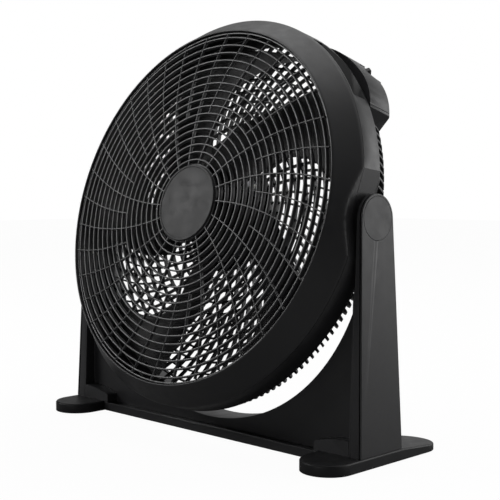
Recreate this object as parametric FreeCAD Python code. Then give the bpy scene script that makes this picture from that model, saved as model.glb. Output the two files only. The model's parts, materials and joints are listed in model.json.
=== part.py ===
import FreeCAD, Part
import math
import os

# Round floor fan: a drum-shaped head tilts between two legs of a low stand.
# Millimetres. X runs across the fan, -Y is the side that the air leaves, +Z is up.
# Everything is drawn about the tilt axis. The head is drawn upright and then leant back.

V = FreeCAD.Vector

# ---- stand ----
PIVOT_HEIGHT = 310.0
LEG_TOP_RADIUS = 30.6        # full-round top of each leg, around the tilt axis
LEG_TAPER = 2.01             # degrees that each leg edge spreads downwards, front and rear
LEG_INNER_X = 274.0
LEG_OUTER_X = 282.4          # outer face at the tilt axis
LEG_FLARE = 1.8              # degrees that the outer face leans outwards, going down
LEG_WALL = 3.0
COVER_SKIN = 2.4
COVER_GAP = 1.8              # shadow gap between a leg and its cover
WEB_HALF_DEPTH = 22.5
WEB_ARC_RADIUS = 286.7       # hollow curve of the web, around the tilt axis
WEB_WALL = 3.0
RAIL_FRONT_Y = 40.8
RAIL_TOP_Z = 14.6
RAIL_BOTTOM_Z = 2.0
RAIL_HALF = 221.8            # the rail ends between the feet
DECK_TOP_Z = 12.0
FLANGE_INNER_X = 271.0
BLOCK_INNER_X = 214.0        # raised corner block where the rail meets a leg
FOOT_CENTRE_X = 257.4
FOOT_HALF_WIDTH = 35.4
FOOT_FRONT_Y = -63.5         # centres of the round ends
FOOT_REAR_Y = 97.0
FOOT_TOP_Z = 16.0
FOOT_TAIL_Z = 9.0            # thickness at the rear tip
FOOT_BOTTOM_Z = 1.5
PAD_RADIUS = 9.0
PAD_PLACES = ((257.4, -78.0), (257.4, 112.0))
LEG_SCREW_PLACES = ((281.5, -26.0), (281.5, 26.0))
FOOT_SCREW_X = 245.0
FOOT_SCREW_Y = -31.0

# ---- head, upright: -Y is its front ----
HEAD_TILT = 15.2
GRILLE_RADIUS = 250.4
GRILLE_EDGE_Y = -61.0
GRILLE_DOME = 6.0
GRILLE_DEPTH = 6.0
GRILLE_EDGE_DEPTH = 4.0      # at the hub ring and the outer edge
RING_FIRST = 62.3
RING_PITCH = 11.22
RING_COUNT = 17
RING_WIDTH = 2.3
RIB_COUNT = 18               # main ribs; as many short ones start at SHORT_RIB_RING
RIB_WIDTH = 2.0
RIB_SWEEP = 16.0             # degrees that a rib turns between hub and edge
RIB_PHASE = 3.5
SHORT_RIB_RING = 6
HUB_RADIUS = 54.0
RIM_RADIUS = 277.5
RIM_Y = -34.0
SHELL_FRONT_Y = -30.4
SHELL_REAR_Y = 2.5
SHELL_RADIUS = 279.0
SHELL_WALL = 2.6
GUARD_RIBS = 80               # ribs in the outer half; half as many further in
GUARD_BACK_Y = 24.0
GUARD_BASE_Y = 5.0           # rear face of the guard's base ring, which sits on the side band
RIM_SCREW_RADIUS = 270.2
GUARD_RINGS = tuple(90.0 + 17.0 * k for k in range(10))
GUARD_SWEEP = -32.0          # degrees that a rib turns on its way out to the edge, from +X towards +Z
GUARD_DEPTH = 7.0
GUARD_RING_WIDTH = 3.4
GUARD_RIB_WIDTH = 3.2
GUARD_FIN_WIDTH = 3.8
FIN_GAP = (-14.5, 21.0)        # no fins between these directions, in degrees from the control box's middle
GUARD_FIN_SLANT = 24.0       # degrees that the edge fins lean clockwise, going back
MOUNT_RADIUS = 74.0
BOX_ANGLE = 47.0             # control box, clockwise from the top, seen from the front
BOX_REAR_Y = 46.5
HANDLE_ENDS = (-78.0, 44.0)
HANDLE_FLOOR = 260.0
HANDLE_FRONT_Y = -27.0
HANDLE_REAR_Y = -1.8         # at the surface of the drum
HANDLE_SLOPE = 0.55          # how fast the rear wall of the scoop comes forward, going in
SEAM_X = 49.0                # where the end cap of the control box starts
KNOB_SEAT = V(-22.0, 36.0, 271.0)
KNOB_RADIUS = 17.0
CONTROL_SCREW_PLACES = ((-75.0, 241.0), (54.0, 240.0))
GLAND_PLACE = (28.0, 244.0)

# ---- blower ----
BLADE_COUNT = 5
BLADE_TIP_RADIUS = 243.0
BLADE_THICKNESS = 2.4
BLADE_EDGE = 0.9             # thickness at the two long edges
BLADE_BOW = 0.30             # hollow of the front face, as a share of the forward step
# Radius; direction of the rear and the front edge, in degrees from +X towards +Z; how much nearer the front
# the front edge is; depth of the middle of the blade.
BLADE_STATIONS = (
    (44.0, 42.0, 110.0, 28.0, -28.0),
    (95.0, 37.0, 84.0, 26.0, -24.0),
    (140.0, 34.0, 66.0, 23.0, -19.0),
    (185.0, 22.0, 53.0, 22.0, -15.5),
    (245.0, -8.0, 45.0, 21.0, -12.5),
)
HUB_CUP_RADIUS = 46.0
SHAFT_RADIUS = 4.0
MOTOR_RADIUS = 60.0

# ---- fits ----
RUNNING = 0.05
BOLT_RADIUS = 5.0

# Moves the middle of the whole fan's box over the origin.
CENTRE_SHIFT_Y = -2.1

NODES = []


# ---------------------------------------------------------------- helpers

def closed(points):
    return Part.Face(Part.makePolygon(points + points[:1]))


def turned(points, angle=360.0):
    """Turn (radius, y) points about the Y axis."""
    return closed([V(r, y, 0) for r, y in points]).revolve(V(0, 0, 0), V(0, 1, 0), angle)


def across_y(points, y0, y1):
    """Prism with an (x, z) outline between two Y planes."""
    return closed([V(x, y0, z) for x, z in points]).extrude(V(0, y1 - y0, 0))


def box(x0, x1, y0, y1, z0, z1):
    return Part.makeBox(x1 - x0, y1 - y0, z1 - z0, V(x0, y0, z0))


def rod(radius, start, end):
    """Round bar between two points."""
    return Part.makeCylinder(radius, (end - start).Length, start, end - start)


def pipe(outer, inner, start, end):
    return rod(outer, start, end).cut(rod(inner, start, end))


def polar(radius, degrees, y=0.0):
    """Point on a circle about the Y axis; 0 degrees is +X and 90 degrees is +Z."""
    a = math.radians(degrees)
    return V(radius * math.cos(a), y, radius * math.sin(a))


def turn_y(shape, degrees):
    """Turn a copy about the Y axis, counter-clockwise seen from the front."""
    copy = shape.copy()
    copy.rotate(V(0, 0, 0), V(0, 1, 0), -degrees)
    return copy


def mirror_x(shape):
    return shape.mirror(V(0, 0, 0), V(1, 0, 0))


def fuse_all(shapes):
    return shapes[0].multiFuse(shapes[1:]).removeSplitter() if len(shapes) > 1 else shapes[0]


def screw(tip, head_seat, shank=1.9, head=3.8, head_height=2.4):
    """Pan-head screw from its tip to the seat of its head."""
    axis = (head_seat - tip).normalize()
    body = rod(shank, tip, head_seat).fuse(rod(head, head_seat, head_seat + axis * head_height))
    slot_depth = head_height * 0.5
    socket = rod(head * 0.45, head_seat + axis * slot_depth, head_seat + axis * (head_height + 1))
    return body.cut(socket)


def save_stand(name, shape):
    """Write a stand piece, moved from the tilt axis to its place."""
    placed = shape.copy()
    placed.translate(V(0, CENTRE_SHIFT_Y, PIVOT_HEIGHT))
    NODES.append(name)
    placed.exportStep("parts/" + name + ".step")


def save_head(name, shape):
    """Write a head piece, leant back about the tilt axis."""
    placed = shape.copy()
    placed.rotate(V(0, 0, 0), V(1, 0, 0), -HEAD_TILT)
    save_stand(name, placed)


# ---------------------------------------------------------------- stand
# Stand pieces use heights below the tilt axis: the floor is at -PIVOT_HEIGHT.

def floor(z):
    return z - PIVOT_HEIGHT


def leg_profile(inset, z_low, z_arc=None):
    """Side outline of a leg, (y, z): straight tapering edges and a full-round top."""
    radius = LEG_TOP_RADIUS - inset
    g = math.radians(LEG_TAPER)
    low = (radius - z_low * math.sin(g)) / math.cos(g)
    side = V(0, radius * math.cos(g), radius * math.sin(g))
    other = V(0, -side.y, side.z)
    edges = [
        Part.makeLine(V(0, -low, z_low), V(0, low, z_low)),
        Part.makeLine(V(0, low, z_low), side),
        Part.Arc(side, V(0, 0, radius), other).toShape(),
        Part.makeLine(other, V(0, -low, z_low)),
    ]
    return Part.Face(Part.Wire(edges))


def leg_slab(inner, outer, inset, z_low):
    """Part of the right leg between two x faces, each given at the tilt axis; the outer one flares."""
    flare = math.tan(math.radians(LEG_FLARE))
    inner_x, inner_flare = inner
    outer_x, outer_flare = outer
    top = LEG_TOP_RADIUS + 1
    prism = leg_profile(inset, z_low).extrude(V(400, 0, 0))
    wedge = across_y([
        (inner_x - inner_flare * flare * z_low, z_low),
        (outer_x - outer_flare * flare * z_low, z_low),
        (outer_x - outer_flare * flare * top, top),
        (inner_x - inner_flare * flare * top, top),
    ], -90, 90)
    return prism.common(wedge)


def leg():
    """Channel that is closed towards the head and open outwards."""
    bottom = floor(FOOT_TOP_Z)
    rim_x = LEG_OUTER_X - COVER_SKIN - COVER_GAP
    body = leg_slab((LEG_INNER_X, 0), (rim_x, 1), 0, bottom)
    cavity = leg_slab((LEG_INNER_X + LEG_WALL, 0), (rim_x + 20, 1), LEG_WALL, bottom + LEG_WALL)
    bore = rod(BOLT_RADIUS + RUNNING, V(LEG_INNER_X - 2, 0, 0), V(LEG_OUTER_X, 0, 0))
    body = body.cut(cavity).cut(bore)
    for x, y in LEG_SCREW_PLACES:
        body = body.fuse(rod(4.5, V(x, y, bottom), V(x, y, bottom + 14)))
        body = body.cut(rod(1.9, V(x, y, bottom - 1), V(x, y, bottom + 12)))
    return body


def leg_cover():
    """Outer skin of the leg with a lip that sits inside the channel."""
    bottom = floor(FOOT_TOP_Z)
    skin = leg_slab((LEG_OUTER_X - COVER_SKIN, 1), (LEG_OUTER_X, 1), 0, bottom)
    lip_x = LEG_OUTER_X - COVER_SKIN - COVER_GAP - 0.2
    lip = leg_slab((lip_x, 1), (LEG_OUTER_X - COVER_SKIN, 1), LEG_WALL + 0.2, bottom + LEG_WALL + 0.2)
    lip = lip.cut(leg_slab((lip_x - 5, 1), (LEG_OUTER_X, 1), LEG_WALL + 1.8, bottom + LEG_WALL + 2))
    cover = skin.fuse(lip)
    return cover.cut(rod(27.8, V(260, 0, 0), V(300, 0, 0)))


def pivot_cap():
    """Disc that closes the round opening over the bolt, leaning with the cover."""
    x = LEG_OUTER_X
    disc = rod(27.4, V(x - 2.2, 0, 0), V(x + 0.1, 0, 0))
    skirt = pipe(26.8, 25.2, V(x - 4.6, 0, 0), V(x - 2.2, 0, 0))
    cap = disc.fuse(skirt)
    cap.rotate(V(x, 0, 0), V(0, 1, 0), -LEG_FLARE)
    return cap


def web_region(radius, x_max, z_low):
    """(x, z) area below an arc around the tilt axis, drawn as a face at y = 0."""
    side = -math.sqrt(radius ** 2 - x_max ** 2)
    edges = [
        Part.makeLine(V(-x_max, 0, z_low), V(x_max, 0, z_low)),
        Part.makeLine(V(x_max, 0, z_low), V(x_max, 0, side)),
        Part.Arc(V(x_max, 0, side), V(0, 0, -radius), V(-x_max, 0, side)).toShape(),
        Part.makeLine(V(-x_max, 0, side), V(-x_max, 0, z_low)),
    ]
    return Part.Face(Part.Wire(edges))


def thick_y(face, y0, y1):
    moved = face.copy()
    moved.translate(V(0, y0, 0))
    return moved.extrude(V(0, y1 - y0, 0))


def corner_block():
    """Raised block over the front of the right foot, with a gently arched top."""
    low = floor(DECK_TOP_Z)
    points = [V(BLOCK_INNER_X, 0, floor(27)), V(241, 0, floor(33.2)), V(FLANGE_INNER_X, 0, floor(35.4))]
    edges = [
        Part.Arc(*points).toShape(),
        Part.makeLine(points[2], V(FLANGE_INNER_X, 0, low)),
        Part.makeLine(V(FLANGE_INNER_X, 0, low), V(BLOCK_INNER_X, 0, low)),
        Part.makeLine(V(BLOCK_INNER_X, 0, low), points[0]),
    ]
    return thick_y(Part.Face(Part.Wire(edges)), -RAIL_FRONT_Y, -WEB_HALF_DEPTH)


def stand_web():
    """Hollow web with an arched top, and the two flanges that meet the legs."""
    shell = thick_y(web_region(WEB_ARC_RADIUS, FLANGE_INNER_X, floor(DECK_TOP_Z)), -WEB_HALF_DEPTH, WEB_HALF_DEPTH)
    inside = web_region(WEB_ARC_RADIUS + WEB_WALL, FLANGE_INNER_X - WEB_WALL, floor(5))
    shell = shell.cut(thick_y(inside, -WEB_HALF_DEPTH + WEB_WALL, WEB_HALF_DEPTH - WEB_WALL))
    pieces = [shell]
    flange = leg_profile(0, floor(FOOT_TOP_Z)).extrude(V(LEG_INNER_X - FLANGE_INNER_X, 0, 0))
    flange.translate(V(FLANGE_INNER_X, 0, 0))
    above = thick_y(web_region(WEB_ARC_RADIUS, LEG_INNER_X + 1, floor(0)), -90, 90)
    flange = flange.common(above)
    for x in (-180, -90, 0, 90, 180):
        rib = box(x - 1.2, x + 1.2, -WEB_HALF_DEPTH + 1, WEB_HALF_DEPTH - 1, floor(DECK_TOP_Z), floor(200))
        pieces.append(rib.common(thick_y(web_region(WEB_ARC_RADIUS + 1, LEG_INNER_X, floor(DECK_TOP_Z)), -30, 30)))
    web = fuse_all(pieces + [flange, mirror_x(flange)])
    over_foot = box(RAIL_HALF, 300, -60, 60, floor(0), floor(FOOT_TOP_Z))
    return web.cut(over_foot).cut(mirror_x(over_foot))


def base_rail():
    """Low rail along the bottom: a deck under the web, and an upright lip at the front and the rear."""
    deck = box(-RAIL_HALF, RAIL_HALF, -RAIL_FRONT_Y, RAIL_FRONT_Y, floor(DECK_TOP_Z - 3), floor(DECK_TOP_Z))
    lip = box(-RAIL_HALF, RAIL_HALF, -RAIL_FRONT_Y, -RAIL_FRONT_Y + 3, floor(RAIL_BOTTOM_Z), floor(RAIL_TOP_Z))
    top_edges = [e for e in lip.Edges if e.BoundBox.ZMin > floor(RAIL_TOP_Z) - 0.1 and e.BoundBox.XLength > 100]
    lip = lip.makeFillet(1.2, top_edges)
    return fuse_all([deck, lip, lip.mirror(V(0, 0, 0), V(0, 1, 0))])


def corner_blocks():
    """The two raised blocks, standing on the feet beside the web."""
    block = corner_block()
    block = block.cut(box(0, RAIL_HALF, -90, 90, -400, floor(RAIL_TOP_Z)))
    block = block.cut(box(RAIL_HALF, 400, -90, 90, -400, floor(FOOT_TOP_Z)))
    block = block.cut(rod(1.8, V(FOOT_SCREW_X, FOOT_SCREW_Y, -400), V(FOOT_SCREW_X, FOOT_SCREW_Y, floor(26))))
    return Part.makeCompound([block, mirror_x(block)])


def foot_outline(inset=0.0):
    """Stadium (x, y) outline of a foot."""
    x = FOOT_CENTRE_X
    w = FOOT_HALF_WIDTH - inset
    edges = [
        Part.Arc(V(x - w, FOOT_FRONT_Y, 0), V(x, FOOT_FRONT_Y - w, 0), V(x + w, FOOT_FRONT_Y, 0)).toShape(),
        Part.makeLine(V(x + w, FOOT_FRONT_Y, 0), V(x + w, FOOT_REAR_Y, 0)),
        Part.Arc(V(x + w, FOOT_REAR_Y, 0), V(x, FOOT_REAR_Y + w, 0), V(x - w, FOOT_REAR_Y, 0)).toShape(),
        Part.makeLine(V(x - w, FOOT_REAR_Y, 0), V(x - w, FOOT_FRONT_Y, 0)),
    ]
    return Part.Face(Part.Wire(edges))


def foot():
    """Long runner with round ends; its tail thins behind the leg."""
    body = foot_outline().extrude(V(0, 0, FOOT_TOP_Z - FOOT_BOTTOM_Z))
    body.translate(V(0, 0, floor(FOOT_BOTTOM_Z)))
    tail_end = FOOT_REAR_Y + FOOT_HALF_WIDTH + 1
    tail_low = FOOT_TAIL_Z
    start = 42.0
    cut = Part.Face(Part.makePolygon([
        V(0, start, floor(FOOT_TOP_Z)), V(0, tail_end, floor(tail_low)),
        V(0, tail_end, floor(40)), V(0, start, floor(40)), V(0, start, floor(FOOT_TOP_Z)),
    ])).extrude(V(400, 0, 0))
    body = body.cut(cut)
    top_edges = [e for e in body.Edges if e.BoundBox.ZMin > floor(FOOT_TAIL_Z) - 1]
    body = body.makeFillet(2.5, top_edges)
    hollow = foot_outline(3.0).extrude(V(0, 0, 4.0))
    hollow.translate(V(0, 0, floor(FOOT_BOTTOM_Z)))
    body = body.cut(hollow)
    for x, y in PAD_PLACES:
        post = rod(PAD_RADIUS + 1.5, V(x, y, floor(FOOT_BOTTOM_Z + 1.5)), V(x, y, floor(FOOT_BOTTOM_Z + 5)))
        body = body.fuse(post)
    for x, y in LEG_SCREW_PLACES + ((FOOT_SCREW_X, FOOT_SCREW_Y),):
        body = body.cut(rod(1.9, V(x, y, floor(0)), V(x, y, floor(30))))
    return body


def foot_pads():
    """Rubber discs under both feet."""
    pads = []
    for sign in (-1, 1):
        for x, y in PAD_PLACES:
            pads.append(rod(PAD_RADIUS, V(sign * x, y, floor(0)), V(sign * x, y, floor(FOOT_BOTTOM_Z + 1.5))))
    return Part.makeCompound(pads)


def foot_screws():
    """Screws that come up through the feet into the legs and the corner blocks."""
    places = [(x, y, 28.0) for x, y in LEG_SCREW_PLACES] + [(FOOT_SCREW_X, FOOT_SCREW_Y, 26.0)]
    right = [screw(V(x, y, floor(tip)), V(x, y, floor(FOOT_BOTTOM_Z + 4)), 1.8, 3.6, 2.0) for x, y, tip in places]
    return Part.makeCompound(right + [mirror_x(s) for s in right])


def friction_washers():
    """Thin discs between the legs and the head's bosses; they hold the tilt."""
    washer = pipe(15.0, BOLT_RADIUS + 0.35, V(LEG_INNER_X - 1.6, 0, 0), V(LEG_INNER_X, 0, 0))
    return Part.makeCompound([washer, mirror_x(washer)])


# ---------------------------------------------------------------- head

def notch(extra, y0, y1):
    """Flats beside the legs: a shallow V cut into both sides of the drum."""
    x_mid = 267.0 - extra
    x_end = 272.4 - extra
    points = [(x_end, 62), (x_mid, 12), (x_mid, -12), (x_end, -62), (320, -62), (320, 62)]
    right = across_y(points, y0, y1)
    return right.fuse(mirror_x(right))


def rim_screw_lines():
    """Tip and head seat of the screws that join the guard, the side band and the bezel."""
    lines = []
    for i in range(6):
        p = polar(RIM_SCREW_RADIUS, 15 + 60 * i)
        lines.append((p + V(0, -34, 0), p + V(0, GUARD_BASE_Y, 0)))
    return lines


def front_bezel():
    """Cone from the grille out to the rim, with flats beside the legs."""
    rim = RIM_RADIUS
    outside = turned([
        (0, -63.4), (252.2, -63.4), (253.6, -62.6), (264.5, -50.5), (rim - 1.6, RIM_Y - 2.2),
        (rim, RIM_Y + 0.6), (rim + 0.2, SHELL_FRONT_Y - 0.6), (0, SHELL_FRONT_Y - 0.6),
    ])
    inside = turned([
        (0, -70), (250.7, -70), (250.7, -60), (252.2, -59.4), (263, -48), (rim - 4, RIM_Y + 1),
        (rim - 3.4, 0), (0, 0),
    ])
    bezel = outside.cut(notch(0, -70, 0)).cut(inside.cut(notch(2.6, -75, 5)))
    for start, end in rim_screw_lines():
        post = rod(4.4, V(start.x, -44, start.z), V(start.x, SHELL_REAR_Y - 3, start.z))
        solid = outside.common(post)
        bezel = bezel.fuse(solid.fuse(post.cut(box(-300, 300, -60, SHELL_FRONT_Y - 1, -300, 300))))
        bezel = bezel.cut(rod(1.9, start, end))
    return bezel


def ring_radius(k):
    return RING_FIRST + RING_PITCH * k


def rib_angle(radius):
    """How far a rib has turned at this radius, clockwise seen from the front."""
    return -RIB_SWEEP * (radius - HUB_RADIUS) / (GRILLE_RADIUS - HUB_RADIUS)


def cell(r0, r1, a0, a1, rib_width, sweep=rib_angle):
    """Opening between two rings and two ribs, as a wire at y = 0."""
    def corner(radius, angle, side):
        return polar(radius, angle + sweep(radius) + side * math.degrees(rib_width / 2 / radius))
    inner = [corner(r0, a0, 1), corner(r0, (a0 + a1) / 2, 0), corner(r0, a1, -1)]
    outer = [corner(r1, a1, -1), corner(r1, (a0 + a1) / 2, 0), corner(r1, a0, 1)]
    return Part.Wire([
        Part.Arc(*inner).toShape(),
        Part.makeLine(inner[2], outer[0]),
        Part.Arc(*outer).toShape(),
        Part.makeLine(outer[2], inner[0]),
    ])


def pierced_disc(outer_radius, inner_radius, cells, y0, y1):
    rim = Part.Wire(Part.makeCircle(outer_radius, V(0, 0, 0), V(0, -1, 0)))
    hole = Part.Wire(Part.makeCircle(inner_radius, V(0, 0, 0), V(0, -1, 0)))
    face = Part.Face([rim, hole] + cells, "Part::FaceMakerBullseye")
    return thick_y(face, y0, y1)


def grille_y(radius):
    """Front surface of the slightly domed grille."""
    return GRILLE_EDGE_Y - GRILLE_DOME * (1 - (radius / GRILLE_RADIUS) ** 2)


def front_grille():
    """Rings and swept ribs of one moulding, domed towards the front."""
    cells = []
    step = 360.0 / RIB_COUNT
    bounds = [HUB_RADIUS + 1.5 - RING_WIDTH / 2] + [ring_radius(k) for k in range(RING_COUNT)] + [247.6]
    for k in range(len(bounds) - 1):
        short = k > SHORT_RIB_RING
        width = step / 2 if short else step
        for i in range(RIB_COUNT * (2 if short else 1)):
            start = RIB_PHASE + i * width
            r0 = bounds[k] + RING_WIDTH / 2
            r1 = bounds[k + 1] - RING_WIDTH / 2
            cells.append(cell(r0, r1, start, start + width, RIB_WIDTH))
    flat = pierced_disc(GRILLE_RADIUS, 48.0, cells, -80, -40)
    stations = [0, 57, 60, 100, 150, 200, 240, 243.5, GRILLE_RADIUS + 1]
    front = [(r, grille_y(r)) for r in stations]
    back = [(r, grille_y(r) + (GRILLE_DEPTH if 58 < r < 242 else GRILLE_EDGE_DEPTH)) for r in reversed(stations)]
    return flat.common(turned(front + back))


def hub_cap():
    """Plain round badge over the middle of the grille, with a raised edge."""
    face_y = -68.6
    seat_y = -66.9
    disc = turned([
        (0, face_y), (50.6, face_y), (51.2, face_y - 0.8), (53.4, face_y - 0.8), (54.6, face_y + 0.4),
        (54.6, seat_y), (47.0, seat_y), (47.0, -60), (44.5, -60), (44.5, seat_y), (0, seat_y),
    ])
    return disc


def box_frame(shape):
    """Place a shape drawn at the top of the drum at the control box's angle."""
    return turn_y(shape, -BOX_ANGLE)


def pocket(extra):
    """Finger scoop of the carrying handle, drawn at the top of the drum: a flat floor and a sloping rear wall."""
    x0, x1 = HANDLE_ENDS
    low = HANDLE_FLOOR - extra
    front = HANDLE_FRONT_Y - extra
    rear = [HANDLE_REAR_Y + 1.2 * extra + HANDLE_SLOPE * (z - SHELL_RADIUS) for z in (low + 0.4 * extra, 300)]
    outline = [(front, 300), (front, low), (rear[0], low), (rear[1], 300)]
    block = closed([V(x0 - extra, y, z) for y, z in outline]).extrude(V(x1 - x0 + 2 * extra, 0, 0))
    edges = [e for e in block.Edges if e.BoundBox.ZMax < low + 0.1]
    return box_frame(block.makeFillet(5.0 + extra, edges))


def pivot_boss(extra):
    """Round boss on the right of the drum that takes the pivot bolt."""
    return rod(16.0 + extra, V(250 - extra, 0, 0), V(272.0 + extra, 0, 0))


def rear_shell():
    """Side band of the drum with pivot bosses, flats and the handle recess."""
    outside = turned([
        (0, SHELL_FRONT_Y), (RIM_RADIUS + 0.2, SHELL_FRONT_Y), (SHELL_RADIUS, SHELL_REAR_Y - 2),
        (SHELL_RADIUS - 1.6, SHELL_REAR_Y), (0, SHELL_REAR_Y),
    ])
    inner = RIM_RADIUS - SHELL_WALL
    inside = turned([
        (0, SHELL_FRONT_Y - 5), (inner, SHELL_FRONT_Y - 5), (inner, SHELL_REAR_Y - 3),
        (264.5, SHELL_REAR_Y - 3), (264.5, 10), (0, 10),
    ])
    shell = outside.cut(notch(0, -70, 20)).cut(inside.cut(notch(SHELL_WALL, -75, 25)))
    drum = turned([(0, SHELL_FRONT_Y), (inner + 0.5, SHELL_FRONT_Y), (inner + 0.5, 1), (0, 1)])
    wall = pocket(SHELL_WALL).common(drum)
    shell = shell.fuse(wall).cut(pocket(0))
    boss = pivot_boss(0)
    shell = shell.fuse(boss).fuse(mirror_x(boss))
    for start, end in rim_screw_lines():
        shell = shell.cut(rod(1.9, start, end))
    return shell.cut(rod(BOLT_RADIUS, V(-300, 0, 0), V(300, 0, 0)))


def pivot_bolts():
    """Bolts from each leg into the drum's bosses; they turn with the head."""
    bolt = rod(BOLT_RADIUS, V(252, 0, 0), V(277.3, 0, 0)).fuse(rod(9.5, V(277.3, 0, 0), V(279.3, 0, 0)))
    bolt = bolt.cut(rod(2.5, V(278.3, 0, 0), V(290, 0, 0)))
    return Part.makeCompound([bolt, mirror_x(bolt)])


def guard_sweep(radius):
    return GUARD_SWEEP * (radius - MOUNT_RADIUS) / (262.0 - MOUNT_RADIUS)


def box_clearance():
    """Space that the guard leaves for the control box."""
    return box_frame(box(-86, 62.5, SHELL_REAR_Y - 1, 60, 230.6, 320))


def guard_fin():
    """Slanted fin at the top of the guard's edge, from the base ring to the flat back."""
    y = GUARD_BACK_Y
    outline = [
        (275.4, GUARD_BASE_Y - 1), (275.0, 11), (273.2, 17.5), (268.6, y - 0.5), (263.2, y + 2.4), (259.6, y + 0.8),
        (259.3, y - 3), (264.8, 4),
    ]
    points = [V(0, depth, radius) for radius, depth in outline]
    fin = closed(points).extrude(V(GUARD_FIN_WIDTH, 0, 0))
    fin.translate(V(-GUARD_FIN_WIDTH / 2, 0, 0))
    fin.rotate(V(0, GUARD_BASE_Y, 0), V(0, 0, 1), -GUARD_FIN_SLANT)
    return fin


def rear_guard():
    """Back of the drum: swept ribs on rings, and a closed edge with slanted fins that meets the side band."""
    cells = []
    radii = (MOUNT_RADIUS + 4,) + GUARD_RINGS + (257.0,)
    for k in range(len(radii) - 1):
        count = GUARD_RIBS // 2 if k < 4 else GUARD_RIBS
        width = 360.0 / count
        for i in range(count):
            inner, outer = radii[k] + GUARD_RING_WIDTH / 2, radii[k + 1] - GUARD_RING_WIDTH / 2
            cells.append(cell(inner, outer, i * width, (i + 1) * width, GUARD_RIB_WIDTH, guard_sweep))
    back = pierced_disc(262.0, MOUNT_RADIUS, cells, GUARD_BACK_Y - GUARD_DEPTH, GUARD_BACK_Y)
    base_y = SHELL_REAR_Y
    base = turned([(265.0, base_y), (276.0, base_y), (276.0, GUARD_BASE_Y), (265.0, GUARD_BASE_Y)])
    wall = turned([(263.6, base_y), (266.0, base_y), (266.0, 8), (259.4, GUARD_BACK_Y - 1), (257.0, GUARD_BACK_Y - 1)])
    fin = guard_fin()
    fins = []
    for i in range(GUARD_RIBS * 2):
        turn = i * 180.0 / GUARD_RIBS
        from_box = (turn + BOX_ANGLE + 180) % 360 - 180
        if not FIN_GAP[0] < from_box < FIN_GAP[1]:
            fins.append(turn_y(fin, turn))
    guard = back.multiFuse([base, wall] + fins).cut(box_clearance())
    for start, end in rim_screw_lines():
        guard = guard.cut(rod(1.9, start, end)).cut(rod(4.6, end, end + V(0, 40, 0)))
    boss = pivot_boss(0.5)
    return guard.cut(notch(0, 0, 60)).cut(boss).cut(mirror_x(boss))


def around_motor(radius):
    """Four points around the motor, at 45 degrees to the upright."""
    return [polar(radius, 45 + 90 * i) for i in range(4)]


def drilled(shape, radius, circle):
    for p in around_motor(circle):
        shape = shape.cut(rod(radius, p + V(0, -20, 0), p + V(0, 80, 0)))
    return shape


def motor_mount():
    """Plate in the middle of the guard that carries the motor."""
    y = GUARD_BACK_Y
    edge = MOUNT_RADIUS
    plate = turned([(50, 16), (edge, 16), (edge, y), (70.5, y), (70.5, 19), (50, 19)])
    return drilled(plate, 2.0, 62.0)


def motor_front_cover():
    cup = turned([
        (11, -7), (34, -7), (47, -2), (49.6, 4), (49.6, 16), (67, 16), (67, 13), (52.4, 13), (52.4, 3),
        (49.4, -4.3), (35, -9.8), (11, -9.8),
    ])
    return drilled(cup, 2.0, 62.0)


def motor_rear_cover():
    """Vented cup over the back of the motor, outside the guard."""
    r = MOTOR_RADIUS
    y = GUARD_BACK_Y
    cup = turned([
        (0, 58.5), (40, 58.5), (53, 54), (r, 46), (66, y + 4), (73.2, y + 2.4), (73.2, y), (64.8, y),
        (r - 2.4, 45), (51.5, 52), (39, 56), (0, 56),
    ])
    for i in range(24):
        cup = cup.cut(turn_y(box(-1.6, 1.6, 40, 70, 27, 47), i * 15.0))
    return cup


def stator_core():
    """Stack of laminations with slots for the windings."""
    core = turned([(27.5, 14), (49.6, 14), (49.6, 34), (27.5, 34)])
    for i in range(12):
        core = core.cut(turn_y(box(-3.2, 3.2, 10, 40, 29.5, 41), i * 30.0))
        core = core.cut(turn_y(box(-1.1, 1.1, 10, 40, 20, 30), i * 30.0))
    return core


def stator_windings():
    """Coil bundles that fill the slots, joined by the turns at both ends."""
    ends = [turned([(30.5, a), (40.5, a), (40.5, b), (30.5, b)]) for a, b in ((7.5, 13.7), (34.3, 41))]
    legs = [turn_y(box(-2.8, 2.8, 12, 36, 30, 40.5), i * 30.0) for i in range(12)]
    return fuse_all(ends + legs)


def rotor_core():
    return turned([(SHAFT_RADIUS, 14), (27.0, 14), (27.0, 34), (SHAFT_RADIUS, 34)])


def motor_shaft():
    shaft = rod(SHAFT_RADIUS, V(0, -58, 0), V(0, 52.4, 0))
    return shaft.cut(box(-9, 9, -56, -40, SHAFT_RADIUS - 0.8, 9))


def motor_bearings():
    """Sleeve bearings at both ends of the motor."""
    front = pipe(11.0, SHAFT_RADIUS + RUNNING, V(0, -11.5, 0), V(0, 2, 0))
    rear = pipe(11.0, SHAFT_RADIUS + RUNNING, V(0, 43.5, 0), V(0, 52.5, 0))
    return Part.makeCompound([front, rear])


def rear_bearing_bracket():
    """Cross that carries the rear bearing inside the motor."""
    cross = rod(14.0, V(0, 43.8, 0), V(0, 50, 0))
    for i in range(4):
        arm = box(-4, 4, 44, 47, 0, 55.0)
        post = box(-4, 4, 19, 46, 52.4, 55.0)
        toe = box(-5, 5, 19, 21.6, 52.4, 68.0)
        cross = cross.fuse(turn_y(arm.fuse(post).fuse(toe), 45 + 90 * i))
    return drilled(cross.cut(rod(11.0, V(0, 40, 0), V(0, 60, 0))), 2.0, 62.0)


def motor_screws():
    """Screws that clamp the front cover, the mount plate and the rear bracket."""
    return Part.makeCompound([screw(p + V(0, 23, 0), p + V(0, 13, 0), 2.0, 3.8, 2.2) for p in around_motor(62.0)])


def rim_screws():
    return Part.makeCompound([screw(start, end, 1.9, 3.8, 2.2) for start, end in rim_screw_lines()])


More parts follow.
